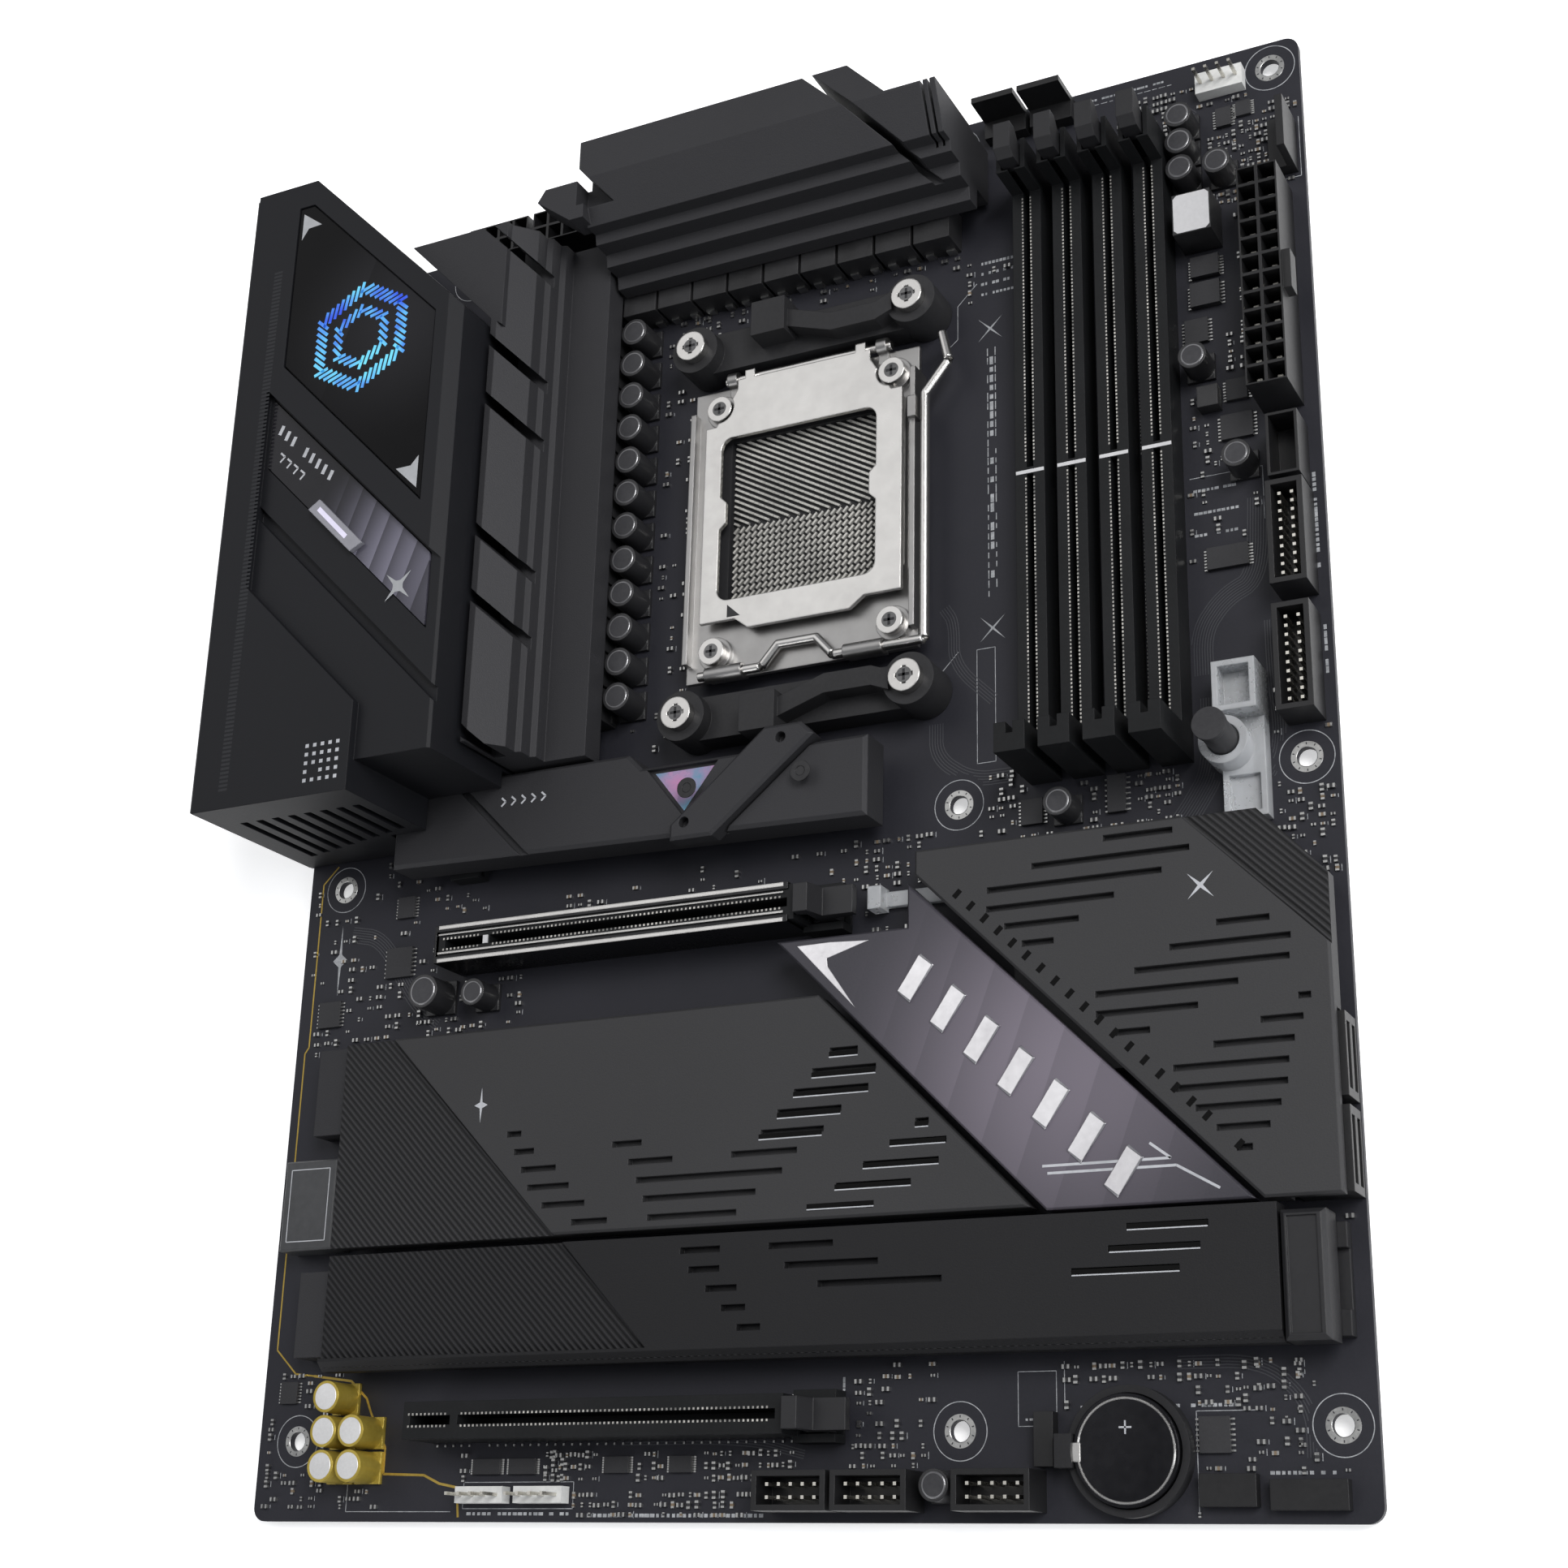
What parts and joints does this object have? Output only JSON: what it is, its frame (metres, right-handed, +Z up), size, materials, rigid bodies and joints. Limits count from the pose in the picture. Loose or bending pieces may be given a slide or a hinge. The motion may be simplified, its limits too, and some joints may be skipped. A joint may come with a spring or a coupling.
{
  "type": "motherboard",
  "caption": "Full-size desktop computer motherboard with a land-grid processor socket, memory and expansion slots, drive heatsinks and a hooded rear connector block.",
  "frame": {"origin": "middle of the whole part's footprint, at the underside of the processor backplate", "axes": "+X from the rear connector edge to the opposite edge; +Y from the lower expansion slot's edge to the top edge, along the board's length; +Z up from the component side"},
  "size_m": [0.2512, 0.3062, 0.0473],
  "materials": {
    "board_laminate": "satin solder mask",
    "black_plate_steel": "satin black",
    "socket_polymer": "matt",
    "nickel_steel": "bright nickel",
    "lever_steel": "bright",
    "black_screw_steel": "black oxide",
    "black_polymer": "matt",
    "latch_polymer": "matt",
    "slot_steel": "grey satin",
    "cover_coating": "fine sand texture",
    "gloss_black": "polished",
    "light_bar_polymer": "translucent",
    "shield_steel": "matt black",
    "port_steel": "folded sheet",
    "brass_gold": "gilded",
    "dark_aluminium": "blasted, anodised charcoal",
    "choke_ferrite": "pressed powder",
    "package_epoxy": "moulded epoxy",
    "black_can": "black sleeve",
    "gold_can": "gold sleeve",
    "banner_coating": "tinted, polished",
    "can_steel": "nickel silver",
    "cell_steel": "stainless",
    "clear_polymer": "translucent"
  },
  "bodies": {
    "board": {"aerial_jacks": "brass_gold", "audio_capacitors": "gold_can", "audio_jacks": "black_polymer", "audio_shield": "can_steel", "banner_plate": "banner_coating", "black_capacitors": "black_can", "box_headers": "black_polymer", "chipset_heatsink": "dark_aluminium", "circuit_board": "board_laminate", "coin_cell": "cell_steel", "coin_cell_holder": "black_polymer", "cooler_bracket_screws": "nickel_steel", "cooler_brackets": "black_polymer", "cover_end_blocks": "black_polymer", "cover_plate_left": "dark_aluminium", "cpu_backplate": "black_plate_steel", "drive_heatsink_lower": "dark_aluminium", "drive_heatsink_strap": "dark_aluminium", "drive_heatsink_upper": "dark_aluminium", "drive_ports": "black_polymer", "drive_sockets": "black_polymer", "expansion_slot_sheath": "slot_steel", "expansion_slots": "black_polymer", "front_usb_header": "can_steel", "heatsink_latch_rail": "black_polymer", "heatsink_left": "dark_aluminium", "heatsink_screws": "black_screw_steel", "heatsink_top": "dark_aluminium", "memory_slots": "black_polymer", "network_port": "port_steel", "pin_headers": "black_polymer", "power_and_chipset_chips": "package_epoxy", "power_chokes": "choke_ferrite", "power_connectors": "black_polymer", "rear_cover": "cover_coating", "rear_cover_light_bar": "light_bar_polymer", "rear_cover_window": "gloss_black", "rear_shield": "shield_steel", "rear_switches": "black_polymer", "slot_release_housing": "clear_polymer", "socket_body": "socket_polymer", "socket_frame": "nickel_steel", "socket_screws": "nickel_steel", "usb_and_video_ports": "port_steel"},
    "load_plate": {"socket_load_plate": "nickel_steel"},
    "load_lever": {"socket_load_lever": "lever_steel"},
    "expansion_latch_upper_body": {"expansion_latch_upper": "latch_polymer"},
    "expansion_latch_lower_body": {"expansion_latch_lower": "latch_polymer"},
    "slot_release_button_body": {"slot_release_button": "black_polymer"},
    "slot_release_rod_body": {"slot_release_rod": "clear_polymer"},
    "heatsink_latch_body": {"heatsink_latch": "latch_polymer"},
    "firmware_button_body": {"firmware_button": "latch_polymer"},
    "reset_settings_button_body": {"reset_settings_button": "latch_polymer"},
    "memory_latch_1_body": {"memory_latch_1": "latch_polymer"},
    "memory_latch_2_body": {"memory_latch_2": "latch_polymer"},
    "memory_latch_3_body": {"memory_latch_3": "latch_polymer"},
    "memory_latch_4_body": {"memory_latch_4": "latch_polymer"},
    "drive_latch_1_body": {"drive_latch_1": "latch_polymer"},
    "drive_latch_2_body": {"drive_latch_2": "latch_polymer"},
    "drive_latch_3_body": {"drive_latch_3": "latch_polymer"}
  },
  "joints": [
    {"name": "load_plate_hinge", "type": "hinge", "parent": "board", "child": "load_plate", "pos_m": [0.01263, 0.0957, 0.0092], "axis": [-1, 0, 0], "range_deg": [0, 105]},
    {"name": "load_lever_hinge", "type": "hinge", "parent": "board", "child": "load_lever", "pos_m": [0.01263, 0.0236, 0.0097], "axis": [1, 0, 0], "range_deg": [0, 105]},
    {"name": "memory_latch_1_hinge", "type": "hinge", "parent": "board", "child": "memory_latch_1_body", "pos_m": [0.06603, 0.1291, 0.007], "axis": [-1, 0, 0], "range_deg": [0, 25]},
    {"name": "memory_latch_2_hinge", "type": "hinge", "parent": "board", "child": "memory_latch_2_body", "pos_m": [0.07523, 0.1291, 0.007], "axis": [-1, 0, 0], "range_deg": [0, 25]},
    {"name": "memory_latch_3_hinge", "type": "hinge", "parent": "board", "child": "memory_latch_3_body", "pos_m": [0.08443, 0.1291, 0.007], "axis": [-1, 0, 0], "range_deg": [0, 25]},
    {"name": "memory_latch_4_hinge", "type": "hinge", "parent": "board", "child": "memory_latch_4_body", "pos_m": [0.09363, 0.1291, 0.007], "axis": [-1, 0, 0], "range_deg": [0, 25]},
    {"name": "expansion_latch_upper_hinge", "type": "hinge", "parent": "board", "child": "expansion_latch_upper_body", "pos_m": [0.01993, -0.0321, 0.0064], "axis": [0, 1, 0], "range_deg": [0, 15]},
    {"name": "expansion_latch_lower_hinge", "type": "hinge", "parent": "board", "child": "expansion_latch_lower_body", "pos_m": [0.01993, -0.1337, 0.0064], "axis": [0, 1, 0], "range_deg": [0, 15]},
    {"name": "slot_release_press", "type": "slide", "parent": "board", "child": "slot_release_button_body", "axis": [0, 0, -1], "range_m": [0, 0.002], "stiffness_N_per_m": 800},
    {"name": "slot_release_rod_slide", "type": "slide", "parent": "board", "child": "slot_release_rod_body", "axis": [1, 0, 0], "range_m": [0, 0.002]},
    {"name": "heatsink_latch_slide", "type": "slide", "parent": "board", "child": "heatsink_latch_body", "axis": [1, 0, 0], "range_m": [0, 0.0016], "stiffness_N_per_m": 600},
    {"name": "firmware_button_press", "type": "slide", "parent": "board", "child": "firmware_button_body", "axis": [1, 0, 0], "range_m": [0, 0.0008], "stiffness_N_per_m": 900},
    {"name": "reset_settings_button_press", "type": "slide", "parent": "board", "child": "reset_settings_button_body", "axis": [1, 0, 0], "range_m": [0, 0.0008], "stiffness_N_per_m": 900},
    {"name": "drive_latch_1_turn", "type": "hinge", "parent": "board", "child": "drive_latch_1_body", "pos_m": [0.01313, -0.0042, 0.0056], "axis": [0, 0, 1], "range_deg": [0, 90]},
    {"name": "drive_latch_2_turn", "type": "hinge", "parent": "board", "child": "drive_latch_2_body", "pos_m": [0.00013, -0.0719, 0.0056], "axis": [0, 0, 1], "range_deg": [0, 90]},
    {"name": "drive_latch_3_turn", "type": "hinge", "parent": "board", "child": "drive_latch_3_body", "pos_m": [0.00013, -0.1101, 0.0056], "axis": [0, 0, 1], "range_deg": [0, 90]}
  ],
  "couplings": [
    {"joint": "slot_release_rod_slide", "follows": "slot_release_press", "ratio": 1},
    {"joint": "expansion_latch_upper_hinge", "follows": "slot_release_press", "rad_per_m": 130}
  ]
}
